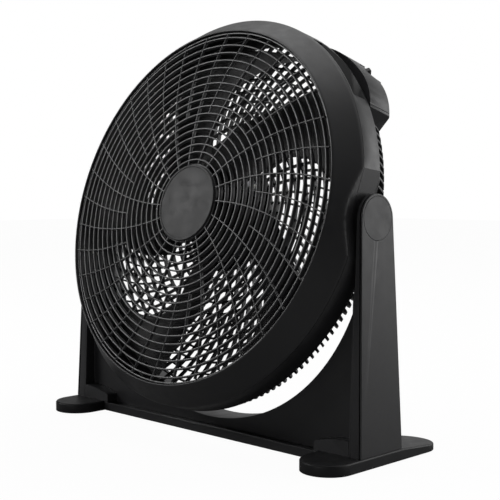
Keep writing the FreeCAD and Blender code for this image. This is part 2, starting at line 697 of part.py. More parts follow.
def control_outline(inset):
    """Face with the control box's (x, z) outline, drawn at the top of the drum: a long curve over two straight ends."""
    def point(x, z, side=0.0, down=1.0):
        return V(x + side * inset, 0, z - down * inset)
    foot_left, foot_right = point(-84, 232.2, 1, -1), point(60.5, 232.2, -1, -1)
    left, corner = point(-84, 262, 1, 0.4), point(52.5, 274, -1, 0.6)
    crown = point(0, 288.6)
    edges = [
        Part.makeLine(foot_left, left),
        Part.Arc(left, point(-46, 280.6), crown).toShape(),
        Part.Arc(crown, point(30, 285.0), corner).toShape(),
        Part.makeLine(corner, foot_right),
        Part.makeLine(foot_right, foot_left),
    ]
    return Part.Face(Part.Wire(edges))


def control_solid():
    """Box behind the side band with softened rear edges and a slanted seat for the knob."""
    body = thick_y(control_outline(0), SHELL_REAR_Y, BOX_REAR_Y)
    rear_edges = [e for e in body.Edges if e.BoundBox.YMin > BOX_REAR_Y - 0.1 and e.BoundBox.ZMin > 233]
    body = body.makeFillet(3.0, rear_edges)
    body = body.cut(thick_y(control_outline(2.4), SHELL_REAR_Y + 2.4, BOX_REAR_Y - 2.4))
    for x, z in CONTROL_SCREW_PLACES:
        body = body.fuse(rod(4.0, V(x, SHELL_REAR_Y + 1, z), V(x, BOX_REAR_Y - 1, z)))
        body = body.cut(rod(1.8, V(x, 20, z), V(x, 90, z)))
    return body


def knob_axis():
    return V(0, 1, 1).normalize()


def knob_well():
    """Round space around the knob, open backwards and outwards."""
    axis = knob_axis()
    return rod(KNOB_RADIUS + 2.5, KNOB_SEAT, KNOB_SEAT + axis * 60)


def knob_seat():
    """Slanted floor under the knob."""
    axis = knob_axis()
    seat = rod(KNOB_RADIUS + 4.6, KNOB_SEAT - axis * 2.4, KNOB_SEAT)
    wall = pipe(KNOB_RADIUS + 4.6, KNOB_RADIUS + 2.5, KNOB_SEAT - axis * 2.4, KNOB_SEAT + axis * 40)
    inside = thick_y(control_outline(0), SHELL_REAR_Y, BOX_REAR_Y)
    return seat.fuse(wall).common(inside)


def control_housing():
    body = control_solid().cut(knob_well()).fuse(knob_seat())
    body = body.cut(rod(4.4, KNOB_SEAT - knob_axis() * 10, KNOB_SEAT + knob_axis() * 10))
    x, z = GLAND_PLACE
    body = body.cut(rod(6.0, V(x, 20, z), V(x, 90, z)))
    body = body.cut(box(SEAM_X, 90, 0, 60, 200, 320))
    return body


def control_end_cap():
    return control_solid().common(box(SEAM_X + 0.7, 90, 0, 60, 200, 320))


def rotary_switch():
    """Switch body under the knob, with a hole for its spindle."""
    axis = knob_axis()
    top = KNOB_SEAT - axis * 2.4
    body = box(-11.5, 11.5, -11.5, 11.5, -12, 0)
    body.rotate(V(0, 0, 0), V(1, 0, 0), -45)
    body.translate(top)
    body = body.cut(rod(3.0 + RUNNING, top - axis * 12.5, top + axis * 5))
    return body


def knob_spindle():
    axis = knob_axis()
    return rod(3.0, KNOB_SEAT - axis * 11, KNOB_SEAT + axis * 8)


def speed_knob():
    """Round knob with a raised grip bar and a pointer line."""
    axis = knob_axis()
    base = KNOB_SEAT + axis * 0.6
    knob = rod(KNOB_RADIUS, base, base + axis * 5)
    dome = Part.makeCone(KNOB_RADIUS - 1.5, KNOB_RADIUS - 5, 4.5, base + axis * 5, axis)
    grip = box(-4, 4, -14.5, 14.5, 4, 13)
    grip = grip.makeFillet(2.0, [e for e in grip.Edges if e.BoundBox.ZMin > 5 or e.BoundBox.ZLength > 5])
    grip.rotate(V(0, 0, 0), V(1, 0, 0), -45)
    grip.translate(base)
    knob = fuse_all([knob, dome, grip])
    return knob.cut(rod(3.0, base - axis * 5, base + axis * 8))


def run_capacitor():
    body = box(-66, -46, 8, 32, 234.6, 258.6)
    return body.makeFillet(2.0, body.Edges)


def cord_gland():
    """Bush in the wall of the control box where a mains lead would enter."""
    x, z = GLAND_PLACE
    start = V(x, BOX_REAR_Y - 5, z)
    end = V(x, BOX_REAR_Y + 3, z)
    outer = rod(6.0, start, end)
    flange = rod(8.5, V(x, BOX_REAR_Y, z), end)
    return outer.fuse(flange).cut(rod(3.6, start - V(0, 1, 0), end + V(0, 1, 0)))


def control_screws():
    return Part.makeCompound([
        screw(V(x, 24, z), V(x, BOX_REAR_Y, z), 1.8, 3.6, 1.8) for x, z in CONTROL_SCREW_PLACES
    ])


# ---------------------------------------------------------------- blower

def blade_station(radius):
    """Rear edge, front edge, forward step and middle depth of a blade at a radius, smooth between the rows."""
    rows = BLADE_STATIONS
    k = sum(1 for row in rows[1:-1] if radius > row[0])
    here, there = rows[k], rows[k + 1]
    before, after = rows[max(0, k - 1)], rows[min(len(rows) - 1, k + 2)]
    span = there[0] - here[0]
    t = (radius - here[0]) / span
    values = []
    for n in range(1, 5):
        slope_here = (there[n] - before[n]) / (there[0] - before[0]) * span
        slope_there = (after[n] - here[n]) / (after[0] - here[0]) * span
        values.append(
            here[n] * (2 * t ** 3 - 3 * t ** 2 + 1) + slope_here * (t ** 3 - 2 * t ** 2 + t)
            + there[n] * (3 * t ** 2 - 2 * t ** 3) + slope_there * (t ** 3 - t ** 2)
        )
    return values


def blade_face(side):
    """Front (-1) or rear (1) face of the first blade, as a surface a little longer than the blade."""
    grid = []
    first = HUB_CUP_RADIUS - 2.5
    rows = 9
    for i in range(rows):
        radius = first + (BLADE_TIP_RADIUS + 3 - first) * i / (rows - 1)
        rear, front, step, middle = blade_station(radius)
        line = []
        for j in range(7):
            share = j / 6
            bow = BLADE_BOW * abs(step) * 4 * share * (1 - share)
            thick = BLADE_EDGE + (BLADE_THICKNESS - BLADE_EDGE) * 4 * share * (1 - share)
            depth = middle + step * (0.5 - share) + bow + side * thick / 2
            line.append(polar(radius, rear + (front - rear) * share, depth))
        grid.append(line)
    surface = Part.BSplineSurface()
    surface.interpolate(grid)
    return surface


def blade():
    """One swept blade, from inside the hub cup's wall out to the tip circle."""
    near, far = blade_face(-1), blade_face(1)
    u0, u1, v0, v1 = near.bounds()
    sides = []
    for u in (u0, u1):
        sides.append(Part.makeRuledSurface(near.uIso(u).toShape(), far.uIso(u).toShape()))
    for v in (v0, v1):
        sides.append(Part.makeRuledSurface(near.vIso(v).toShape(), far.vIso(v).toShape()))
    shell = Part.makeShell([near.toShape(), far.toShape()] + sides)
    shell.sewShape()
    body = Part.makeSolid(shell)
    if body.Volume < 0:
        body.reverse()
    ring = rod(BLADE_TIP_RADIUS, V(0, -80, 0), V(0, 40, 0)).cut(rod(HUB_CUP_RADIUS - 1.5, V(0, -80, 0), V(0, 40, 0)))
    return body.common(ring)


def impeller():
    cup = turned([
        (SHAFT_RADIUS, -52), (30, -52), (42, -49), (HUB_CUP_RADIUS, -43), (HUB_CUP_RADIUS, -12.5),
        (HUB_CUP_RADIUS - 2.5, -12.5), (HUB_CUP_RADIUS - 2.5, -42), (40, -46.4), (12, -48.5), (12, -16),
        (SHAFT_RADIUS, -16),
    ])
    one = blade()
    blades = [turn_y(one, i * 360.0 / BLADE_COUNT) for i in range(BLADE_COUNT)]
    return cup.multiFuse(blades)


def spinner_nut():
    nut = turned([(SHAFT_RADIUS, -52.1), (13, -52.1), (13, -55), (9, -60.5), (0, -61.5), (0, -58.1), (SHAFT_RADIUS, -58.1)])
    for i in range(6):
        nut = nut.cut(turn_y(rod(1.6, V(0, -62, 13.4), V(0, -53.5, 13.4)), i * 60))
    return nut


# ---------------------------------------------------------------- write the parts

def write_stand():
    for name, shape in (("leg", leg()), ("leg_cover", leg_cover()), ("foot", foot()), ("pivot_cap", pivot_cap())):
        save_stand("right_" + name, shape)
        save_stand("left_" + name, mirror_x(shape))
    save_stand("stand_web", stand_web())
    save_stand("base_rail", base_rail())
    save_stand("corner_blocks", corner_blocks())
    save_stand("foot_pads", foot_pads())
    save_stand("foot_screws", foot_screws())
    save_stand("friction_washers", friction_washers())


def write_head():
    save_head("pivot_bolts", pivot_bolts())
    save_head("front_bezel", front_bezel())
    save_head("front_grille", front_grille())
    save_head("hub_cap", hub_cap())
    save_head("rear_shell", rear_shell())
    save_head("rear_guard", rear_guard())
    save_head("motor_mount", motor_mount())
    save_head("motor_front_cover", motor_front_cover())
    save_head("motor_rear_cover", motor_rear_cover())
    save_head("stator_core", stator_core())
    save_head("stator_windings", stator_windings())
    save_head("motor_bearings", motor_bearings())
    save_head("rear_bearing_bracket", rear_bearing_bracket())
    save_head("motor_screws", motor_screws())
    save_head("rim_screws", rim_screws())
    for name, shape in (
        ("control_housing", control_housing()),
        ("control_end_cap", control_end_cap()),
        ("rotary_switch", rotary_switch()),
        ("run_capacitor", run_capacitor()),
        ("cord_gland", cord_gland()),
        ("control_screws", control_screws()),
        ("knob_spindle", knob_spindle()),
        ("speed_knob", speed_knob()),
    ):
        save_head(name, box_frame(shape))


def write_blower():
    save_head("impeller", impeller())
    save_head("spinner_nut", spinner_nut())
    save_head("rotor_core", rotor_core())
    save_head("motor_shaft", motor_shaft())


os.makedirs("parts", exist_ok=True)
write_stand()
write_head()
write_blower()
print(len(NODES), "parts written")
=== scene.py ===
import json
import math

import bmesh
import bpy
from mathutils import Matrix, Vector


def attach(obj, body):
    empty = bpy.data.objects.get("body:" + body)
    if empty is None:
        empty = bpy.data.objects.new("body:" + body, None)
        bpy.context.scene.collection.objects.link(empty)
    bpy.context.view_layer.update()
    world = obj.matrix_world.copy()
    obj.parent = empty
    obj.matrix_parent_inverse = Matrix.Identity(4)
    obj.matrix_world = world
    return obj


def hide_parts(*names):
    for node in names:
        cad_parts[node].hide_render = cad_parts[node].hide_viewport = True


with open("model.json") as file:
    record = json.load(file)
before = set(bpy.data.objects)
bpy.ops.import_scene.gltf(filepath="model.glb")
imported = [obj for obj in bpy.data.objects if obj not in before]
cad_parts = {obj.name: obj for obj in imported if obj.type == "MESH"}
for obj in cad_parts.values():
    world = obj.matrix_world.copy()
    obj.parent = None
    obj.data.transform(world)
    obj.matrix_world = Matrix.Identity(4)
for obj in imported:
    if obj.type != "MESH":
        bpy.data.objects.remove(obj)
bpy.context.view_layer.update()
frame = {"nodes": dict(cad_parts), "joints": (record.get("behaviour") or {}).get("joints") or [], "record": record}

# The drum floor fan's looks. The head's pieces are in millimetres in the head's own frame (x right,
# y backwards, z up, about the tilt axis), and HEAD turns them into metres in the row frame. The studio is
# in metres.

MM = 0.001
JOINTS = {j["name"]: j for j in frame["joints"]}
PIVOT = Vector(JOINTS["head_tilt"]["pos_m"])
FAN_AXIS = Vector(JOINTS["fan_spin"]["axis"])
LEAN = math.atan2(-FAN_AXIS.z, FAN_AXIS.y)
SCALE = Matrix.Diagonal((MM, MM, MM, 1.0))
HEAD = Matrix.Translation(PIVOT) @ Matrix.Rotation(-LEAN, 4, "X") @ SCALE

# ---------------------------------------------------------------- materials

PATCH_SCALE = 7.0               # patches of colour per metre
SMEAR_SCALE = 63.0              # patches of uneven gloss per metre
BUMP_HEIGHT = 0.0002            # metres
WORN_GAIN = 2.2                 # a rubbed edge is this many times the paler colour, and WORN_LIFT more
WORN_LIFT = 0.012


def set_inputs(made, values):
    for key, value in values.items():
        made.inputs[key].default_value = value


def node(tree, kind, inputs=None, **settings):
    """New shader node with its settings and the values of its inputs, by name or number."""
    made = tree.nodes.new(kind)
    for key, value in settings.items():
        setattr(made, key, value)
    set_inputs(made, inputs or {})
    return made


def noise(tree, place, scale, detail, roughness=0.5):
    """Procedural noise at a place, as the socket of its values."""
    made = node(tree, "ShaderNodeTexNoise", {"Scale": scale, "Detail": detail, "Roughness": roughness})
    tree.links.new(place, made.inputs["Vector"])
    return made.outputs["Fac"]


def ramp(tree, source, low, high):
    """Grey that runs from one (position, value) stop to another, as a colour socket."""
    made = node(tree, "ShaderNodeValToRGB")
    for element, (position, value) in zip(made.color_ramp.elements, (low, high)):
        element.position = position
        element.color = (value, value, value, 1)
    tree.links.new(source, made.inputs["Fac"])
    return made.outputs["Color"]


def mix(tree, share, a, b):
    """Colour a where share is 0 and b where it is 1; a and b are sockets or plain colours."""
    made = node(tree, "ShaderNodeMix", data_type="RGBA")
    sockets = [s for s in made.inputs if s.enabled]
    for socket, value in zip(sockets, (share, a, b)):
        if isinstance(value, bpy.types.NodeSocket):
            tree.links.new(value, socket)
        else:
            socket.default_value = (*value, 1)
    return next(s for s in made.outputs if s.enabled)


def surface(name, colour, lighter, roughness, grain, depth, wear=0.5, metallic=0.0, stretch=None, coat=0.0,
            specular=0.5):
    """Moulded or metal finish: patchy colour, uneven gloss, a fine grain and paler rubbed edges."""
    material = bpy.data.materials.new(name)
    material.use_nodes = True
    tree = material.node_tree
    shader = tree.nodes["Principled BSDF"]
    set_inputs(shader, {"Metallic": metallic, "Coat Weight": coat, "Specular IOR Level": specular})
    place = node(tree, "ShaderNodeTexCoord").outputs["Object"]
    if stretch:
        mapping = node(tree, "ShaderNodeMapping", {"Scale": stretch})
        tree.links.new(place, mapping.inputs["Vector"])
        place = mapping.outputs["Vector"]
    patches = noise(tree, place, PATCH_SCALE, 3.0)
    smears = noise(tree, place, SMEAR_SCALE, 4.0, 0.6)
    fine = noise(tree, place, grain, 2.0, 0.6)
    base = mix(tree, ramp(tree, patches, (0.35, 0.0), (0.65, 1.0)), colour, lighter)
    edge = node(tree, "ShaderNodeNewGeometry").outputs["Pointiness"]
    rubbed = ramp(tree, edge, (0.515, 0.0), (0.60, wear))
    worn = tuple(min(1.0, c * WORN_GAIN + WORN_LIFT) for c in lighter)
    tree.links.new(mix(tree, rubbed, base, worn), shader.inputs["Base Color"])
    gloss = ramp(tree, smears, (0.3, roughness - 0.05), (0.7, roughness + 0.06))
    tree.links.new(gloss, shader.inputs["Roughness"])
    bump = node(tree, "ShaderNodeBump", {"Strength": depth, "Distance": BUMP_HEIGHT})
    tree.links.new(fine, bump.inputs["Height"])
    tree.links.new(bump.outputs["Normal"], shader.inputs["Normal"])
    return material


BLACK = (0.0165, 0.0165, 0.0180)
BLACK_2 = (0.0215, 0.0215, 0.0230)
RUBBER = (0.012, 0.012, 0.012)

# For each slot: name, colour and paler colour, roughness, grains per metre and how deep the grain looks.
MATERIALS = {
    "stand_plastic": surface("stand_black", BLACK, BLACK_2, 0.42, 1500, 0.25),
    "cover_plastic": surface("cover_black", BLACK, BLACK_2, 0.44, 1500, 0.30),
    "foot_plastic": surface("foot_black", (0.0100, 0.0100, 0.0110), (0.0130, 0.0130, 0.0140),
                            0.44, 1500, 0.25, specular=0.30),
    "drum_plastic": surface("drum_black", BLACK, BLACK_2, 0.40, 1600, 0.22),
    "grille_plastic": surface("grille_black", (0.036, 0.036, 0.038), (0.043, 0.043, 0.045),
                              0.33, 1800, 0.15, specular=0.85),
    "badge_plastic": surface("badge_grey", (0.018, 0.018, 0.019), (0.022, 0.022, 0.023),
                             0.42, 1800, 0.12, specular=0.32),
    # Rear guard: a darker copy of the same black plastic, as painted shade for the shaded back of the drum.
    "guard_plastic": surface("guard_black_painted_shade", (0.0080, 0.0080, 0.0088), (0.0105, 0.0105, 0.0115),
                             0.42, 1800, 0.15, specular=0.35),
    # Blades: a much darker copy of the same black plastic, as painted shade for the dark inside of the drum.
    "blade_plastic": surface("blade_black_painted_shade", (0.0035, 0.0035, 0.0040), (0.0050, 0.0050, 0.0056),
                             0.36, 1200, 0.10, specular=0.22),
    "knob_plastic": surface("knob_black", BLACK, BLACK_2, 0.33, 1500, 0.18, coat=0.1),
    "pad_rubber": surface("pad_rubber", RUBBER, (0.020, 0.020, 0.019), 0.82, 700, 0.6, wear=0.2),
    "gland_rubber": surface("gland_rubber", RUBBER, (0.018, 0.018, 0.018), 0.75, 900, 0.5, wear=0.2),
    "cast_alloy": surface("cast_alloy", (0.42, 0.42, 0.44), (0.55, 0.55, 0.57),
                          0.48, 600, 0.7, metallic=1.0),
    "lamination_steel": surface("lamination_steel", (0.20, 0.21, 0.23), (0.30, 0.31, 0.33),
                                0.42, 900, 0.8, metallic=1.0, stretch=(1, 12, 1)),
    "winding_copper": surface("winding_copper", (0.42, 0.13, 0.04), (0.60, 0.22, 0.08),
                              0.30, 500, 0.9, metallic=1.0, stretch=(1, 1, 5)),
    "bearing_bronze": surface("bearing_bronze", (0.40, 0.25, 0.09), (0.52, 0.34, 0.14),
                              0.40, 900, 0.5, metallic=1.0),
    "shaft_steel": surface("shaft_steel", (0.48, 0.48, 0.49), (0.58, 0.58, 0.59),
                           0.22, 900, 0.3, metallic=1.0, stretch=(8, 1, 8)),
    "screw_steel": surface("screw_steel", (0.40, 0.39, 0.35), (0.52, 0.51, 0.47),
                           0.30, 900, 0.3, metallic=1.0),
    "washer_fibre": surface("washer_nylon", (0.52, 0.50, 0.44), (0.62, 0.60, 0.53), 0.5, 700, 0.3),
    "switch_phenolic": surface("switch_phenolic", (0.10, 0.045, 0.025), (0.15, 0.07, 0.04),
                               0.40, 500, 0.4),
    "capacitor_shell": surface("capacitor_shell", (0.60, 0.60, 0.57), (0.70, 0.70, 0.68),
                               0.42, 700, 0.3),
}

SLOT_OF = {s["node"]: s["material_slot"] for s in frame["record"]["subparts"]}

# Edge rounding by a word in the node's name; the first word that fits counts.
EDGE_ROUNDING = {
    "leg": 0.8, "cover": 0.7, "foot": 0.3, "web": 0.8, "rail": 0.5, "block": 1.0, "shell": 0.7,
    "housing": 0.7, "end_cap": 0.7, "cap": 0.5, "knob": 0.4,
}


def soften(obj, width):
    """Moulded edges are never sharp: weld the corners' split points, then round the edges a little."""
    weld = obj.modifiers.new("weld", "WELD")
    weld.merge_threshold = 0.00001
    bevel = obj.modifiers.new("edges", "BEVEL")
    bevel.width = width * MM
    bevel.segments = 2
    bevel.limit_method = "ANGLE"
    bevel.angle_limit = math.radians(32)
    bevel.harden_normals = True


def dress(name, obj):
    """Give a CAD node its material and, where it is a moulding, its softer edges."""
    obj.data.materials.clear()
    obj.data.materials.append(MATERIALS[SLOT_OF[name]])
    widths = [width for word, width in EDGE_ROUNDING.items() if word in name]
    if widths:
        soften(obj, widths[0])


for name, obj in frame["nodes"].items():
    dress(name, obj)

# ---------------------------------------------------------------- mesh tools

CORNER_STEPS = 4
CORNER_REACH = 0.49             # share of a side that a rounded corner may take
BAR_NOSE = ((1.0, 0.55), (0.84, 0.18), (0.55, 0.03), (0.0, 0.0))    # share of the half width, and depth
BAR_TAPER = 0.72                # width at the back of a bar, as a share of its width in front


class Solid:
    """Closed bars and turned shapes that make up one piece."""

    def __init__(self):
        self.points = []
        self.faces = []

    def skin(self, rings, looped):
        """Join a row of matching rings of points; the row meets itself, or its two ends are capped."""
        start = len(self.points)
        size = len(rings[0])
        rows = len(rings)
        for ring in rings:
            self.points.extend(ring)
        for i in range(rows if looped else rows - 1):
            a = start + i * size
            b = start + (i + 1) % rows * size
            for j in range(size):
                k = (j + 1) % size
                self.faces.append((a + j, a + k, b + k, b + j))
        if not looped:
            self.faces.append(tuple(range(start + size - 1, start - 1, -1)))
            self.faces.append(tuple(range(start + (rows - 1) * size, start + rows * size)))


def add_object(name, data):
    obj = bpy.data.objects.new(name, data)
    bpy.context.scene.collection.objects.link(obj)
    return obj


def piece(name, solid, body, slot, replaced, angle=38.0):
    """Turn a Solid into an object that rides on a body and stands for CAD nodes."""
    mesh = bpy.data.meshes.new(name)
    mesh.from_pydata([HEAD @ Vector(p) for p in solid.points], [], solid.faces)
    shape = bmesh.new()
    shape.from_mesh(mesh)
    bmesh.ops.recalc_face_normals(shape, faces=shape.faces)
    shape.to_mesh(mesh)
    shape.free()
    mesh.shade_smooth()
    mesh.set_sharp_from_angle(angle=math.radians(angle))
    mesh.materials.append(MATERIALS[slot])
    obj = add_object(name, mesh)
    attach(obj, body)
    if replaced:
        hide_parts(*replaced)


def polar(radius, degrees, y):
    a = math.radians(degrees)
    return Vector((radius * math.cos(a), y, radius * math.sin(a)))


def circle(radius, y, steps, first=0.0):
    return [polar(radius, first + 360.0 * i / steps, y) for i in range(steps)]


def rounded(corners):
    """Outline through (u, v, radius) corners, with each corner rounded by its radius."""
    out = []
    count = len(corners)
    for i, (u, v, radius) in enumerate(corners):
        here = Vector((u, v))
        before = Vector(corners[i - 1][:2]) - here
        after = Vector(corners[(i + 1) % count][:2]) - here
        cut = min(radius, CORNER_REACH * before.length, CORNER_REACH * after.length)
        a = here + before.normalized() * cut
        b = here + after.normalized() * cut
        for k in range(CORNER_STEPS + 1):
            t = k / CORNER_STEPS
            out.append(a * (1 - t) ** 2 + here * 2 * t * (1 - t) + b * t ** 2)
    return out


def turned(solid, outline, segments, limit=None):
    """Turn an (r, y) outline about the head's axis; limit(point, degrees) may hold the radius in."""
    rings = []
    for i in range(segments):
        degrees = 360.0 * i / segments
        ring = []
        for point in outline:
            r = point[0] if limit is None else limit(point, degrees)
            ring.append(polar(r, degrees, point[1]))
        rings.append(ring)
    solid.skin(rings, looped=True)


def bar_section(width, depth):
    """Section of a moulded bar: a nearly flat front with round corners, and sides that draw in."""
    half = width / 2
    points = [(-half * u, v) for u, v in BAR_NOSE] + [(half * u, v) for u, v in reversed(BAR_NOSE[:-1])]
    return points + [(half * BAR_TAPER, depth), (-half * BAR_TAPER, depth)]


def swept_bar(solid, path, section, looped=False):
    """Bar along path points; the section's u runs across the bar and v runs backwards."""
    rings = []
    count = len(path)
    for i, point in enumerate(path):
        ahead = path[(i + 1) % count] if looped or i + 1 < count else point
        behind = path[i - 1] if looped or i > 0 else point
        across = (ahead - behind).cross(Vector((0, 1, 0))).normalized()
        rings.append([point + across * u + Vector((0, v, 0)) for u, v in section])
    solid.skin(rings, looped)


# ---------------------------------------------------------------- front grille

GRILLE_RADIUS = 250.4
GRILLE_EDGE_Y = -61.0
GRILLE_DOME = 6.0
HUB_RADIUS = 54.0

# Outlines with corner radii, as (r, y, radius).
HUB_RING = ((48, -66.7, 0.3), (55.8, -66.5, 0.5), (55.8, -62.6, 0.3), (48, -62.6, 0.3))
EDGE_RING = ((247.6, -58.3, 0.5), (248.9, -58.6, 0.6), (250.3, -58.3, 0.5), (250.3, -57, 0.3),
             (247.6, -57, 0.3))

RING_RADII = [62.3 + 11.22 * k for k in range(17)]
RING_SECTION = (2.3, 6.0)       # width and depth
RING_SET_BACK = 0.15            # behind the dome, so that the ribs cross just in front
RIB_SECTION = (1.9, 4.8)
RIB_LIFT = 0.1                  # in front of the dome
RIB_COUNT = 18                  # main ribs; as many short ones start at SHORT_RIB_RING
RIB_PHASE = 3.5
RIB_SWEEP = 16.0                # degrees that a rib turns between the hub and the edge
RIB_START = 54.6
RIB_END = 247.5
SHORT_RIB_RING = 6


def grille_y(radius):
    return GRILLE_EDGE_Y - GRILLE_DOME * (1 - (radius / GRILLE_RADIUS) ** 2)


def rib_path(start, r0, steps):
    path = []
    for i in range(steps + 1):
        r = r0 + (RIB_END - r0) * i / steps
        turn = -RIB_SWEEP * (r - HUB_RADIUS) / (GRILLE_RADIUS - HUB_RADIUS)
        path.append(polar(r, start + turn, grille_y(r) - RIB_LIFT))
    return path


def make_grille():
    rings = Solid()
    for radius in RING_RADII:
        path = circle(radius, grille_y(radius) + RING_SET_BACK, steps=300)
        swept_bar(rings, path, bar_section(*RING_SECTION), looped=True)
    turned(rings, rounded(EDGE_RING), segments=360)
    turned(rings, rounded(HUB_RING), segments=180)
    piece("grille_rings", rings, "head", "grille_plastic", ["front_grille"])
    ribs = Solid()
    section = bar_section(*RIB_SECTION)
    spacing = 360.0 / RIB_COUNT
    for i in range(RIB_COUNT):
        start = RIB_PHASE + spacing * i
        swept_bar(ribs, rib_path(start, RIB_START, steps=46), section)
        swept_bar(ribs, rib_path(start + spacing / 2, RING_RADII[SHORT_RIB_RING], steps=28), section)
    piece("grille_ribs", ribs, "head", "grille_plastic", [])


# ---------------------------------------------------------------- bezel

WALL = 2.6                      # thickness of the drum's wall at the flats
FLAT_X = 267.0                  # flats that the drum has beside the legs
FLAT_HALF_HEIGHT = 12.0         # half the height over which they are upright
FLAT_SPREAD = 0.108             # how fast they lean outwards above and below that
FLAT_REACH = 0.5                # sine of the direction beyond which there are none
FLAT_BLEND = 0.9                # softness of the edge between a flat and the round wall


def notch_limit(degrees):
    """Radius at which the flats beside the legs cut the drum."""
    c = abs(math.cos(math.radians(degrees)))
    s = abs(math.sin(math.radians(degrees)))
    if s > FLAT_REACH:
        return math.inf
    return max(FLAT_X / c, (FLAT_X - FLAT_HALF_HEIGHT * FLAT_SPREAD) / (c - FLAT_SPREAD * s))


def held(point, degrees):
    """Hold an outline point inside the flats; its third value tells how far inside the wall it is."""
    limit = notch_limit(degrees) - point[2]
    r = point[0]
    if r < limit - FLAT_BLEND:
        return r
    if r > limit + FLAT_BLEND:
        return limit
    t = (limit + FLAT_BLEND - r) / (2 * FLAT_BLEND)
    return limit * (1 - t) + r * t - FLAT_BLEND * t * (1 - t)


def with_inset(outline, inset):
    return [(r, y, inset) for r, y in outline]


def arc(start, end, bulge, steps):
    """Points of a shallow arc from start to end, pushed out sideways by bulge."""
    a = Vector(start)
    b = Vector(end)
    side = Vector(((b - a).y, -(b - a).x)).normalized()
    shares = [k / steps for k in range(steps + 1)]
    return [a.lerp(b, t) + side * bulge * 4 * t * (1 - t) for t in shares]


def make_bezel():
    """Hollow cone from the lip round the grille back to the side band."""
    outer = [(250.9, -60.2), (250.9, -61.6), (251.3, -62.2), (252.2, -62.3), (253.1, -61.7)]
    outer += arc((254.0, -60.7), (277.55, -32.2), bulge=-0.2, steps=12)
    outer += [(277.75, -31.3), (277.4, -31.0)]
    inner = [(275.0, -31.0), (273.6, -33.5), (262.2, -47.4), (252.9, -58.4), (252.2, -59.6)]
    solid = Solid()
    turned(solid, with_inset(outer, 0.0) + with_inset(inner, WALL), segments=900, limit=held)
    piece("bezel_shell", solid, "head", "drum_plastic", ["front_bezel"], angle=30.0)


# ---------------------------------------------------------------- rear guard

GUARD_BACK_Y = 24.0
GUARD_DEPTH = 7.0
BAR_DEPTH = GUARD_DEPTH - 0.6
MOUNT_RADIUS = 74.0
GUARD_EDGE_RADIUS = 262.0
GUARD_RINGS = [90.0 + 17.0 * k for k in range(10)]
GUARD_RING_WIDTH = 3.1
GUARD_RIBS = 80                 # ribs in the outer half; half as many further in
GUARD_RIB_WIDTH = 2.7
GUARD_RIB_START = 77.0
GUARD_RIB_END = 259.0
GUARD_SHORT_RIB_RING = 3
GUARD_SWEEP = -32.0             # degrees that a rib turns on its way out to the edge
BOX_DIRECTION = 43.0            # middle of the control box, from +X towards +Z
BOX_INNER_REACH = 230.6         # how far out towards BOX_DIRECTION the box's space starts
BOX_ENDS = (-86.0, 62.5)        # its two ends, across that direction

# The rim and the fins are left out between these directions, in degrees from BOX_DIRECTION.
RIM_GAP = (-15.0, 20.5)
FIN_GAP = (-14.5, 21.0)

# A fin's outline as (r, y), and for each layer its offset and how far its outline is drawn in.
FIN_OUTLINE = ((275.3, 4), (274.9, 11), (273.1, 17.4), (268.5, 23.4), (263.2, 26.2), (259.6, 24.6),
               (259.4, 21), (264.8, 5))
FIN_LAYERS = ((-1.9, 0.6), (-1.75, 0.2), (-1.3, 0.0), (1.3, 0.0), (1.75, 0.2), (1.9, 0.6))
FIN_SLANT = math.tan(math.radians(24.0))
FIN_BASE_Y = 5.0

# Outlines with corner radii, as (r, y, radius).
MOUNT_RING = ((74.1, GUARD_BACK_Y, 0.6), (79, GUARD_BACK_Y, 1.0), (79, GUARD_BACK_Y - GUARD_DEPTH, 0.3),
              (74.1, GUARD_BACK_Y - GUARD_DEPTH, 0.3))
RIM = ((257.0, GUARD_BACK_Y, 0.8), (GUARD_EDGE_RADIUS, GUARD_BACK_Y, 1.2), (266.0, 8, 1.5),
       (275.8, 5, 0.8), (275.8, 2.7, 0.3), (265, 2.7, 0.3), (263.6, 6, 0.8), (257.0, 20, 0.8))


def under_box(point):
    """True where the control box takes the guard's place."""
    a = math.radians(BOX_DIRECTION - 90)
    across = point.x * math.cos(a) + point.z * math.sin(a)
    up = -point.x * math.sin(a) + point.z * math.cos(a)
    return up > BOX_INNER_REACH and BOX_ENDS[0] < across < BOX_ENDS[1]


def guard_bar(width):
    """Bar section for the guard, with its rounded side backwards."""
    return [(u, -v) for u, v in bar_section(width, BAR_DEPTH)]


def guard_rib(start, r0):
    """Path of a rib from radius r0 to the edge, or as far as the control box."""
    path = []
    steps = 24
    for i in range(steps + 1):
        r = r0 + (GUARD_RIB_END - r0) * i / steps
        turn = GUARD_SWEEP * (r - MOUNT_RADIUS) / (GUARD_EDGE_RADIUS - MOUNT_RADIUS)
        point = polar(r, start + turn, GUARD_BACK_Y)
        if under_box(point):
            break
        path.append(point)
    return path


def guard_fin(solid, degrees):
    """Slanted fin with softened edges, held inside the flats beside the legs."""
    along = -polar(1.0, degrees + 90.0, 0.0)
    rings = []
    for side, inset in FIN_LAYERS:
        ring = []
        for r, y in FIN_OUTLINE:
            reach = min(r, notch_limit(degrees)) - inset
            ring.append(polar(reach, degrees, y) + along * (side + (y - FIN_BASE_Y) * FIN_SLANT))
        rings.append(ring)
    solid.skin(rings, looped=False)


def guard_rim(solid):
    """Rim that carries the fins, open where the control box stands."""
    outline = rounded(RIM)
    steps = 420
    span = 360.0 - (RIM_GAP[1] - RIM_GAP[0])
    rows = []
    for i in range(steps + 1):
        degrees = BOX_DIRECTION + RIM_GAP[1] + span * i / steps
        rows.append([polar(min(r, notch_limit(degrees)), degrees, y) for r, y in outline])
    solid.skin(rows, looped=False)


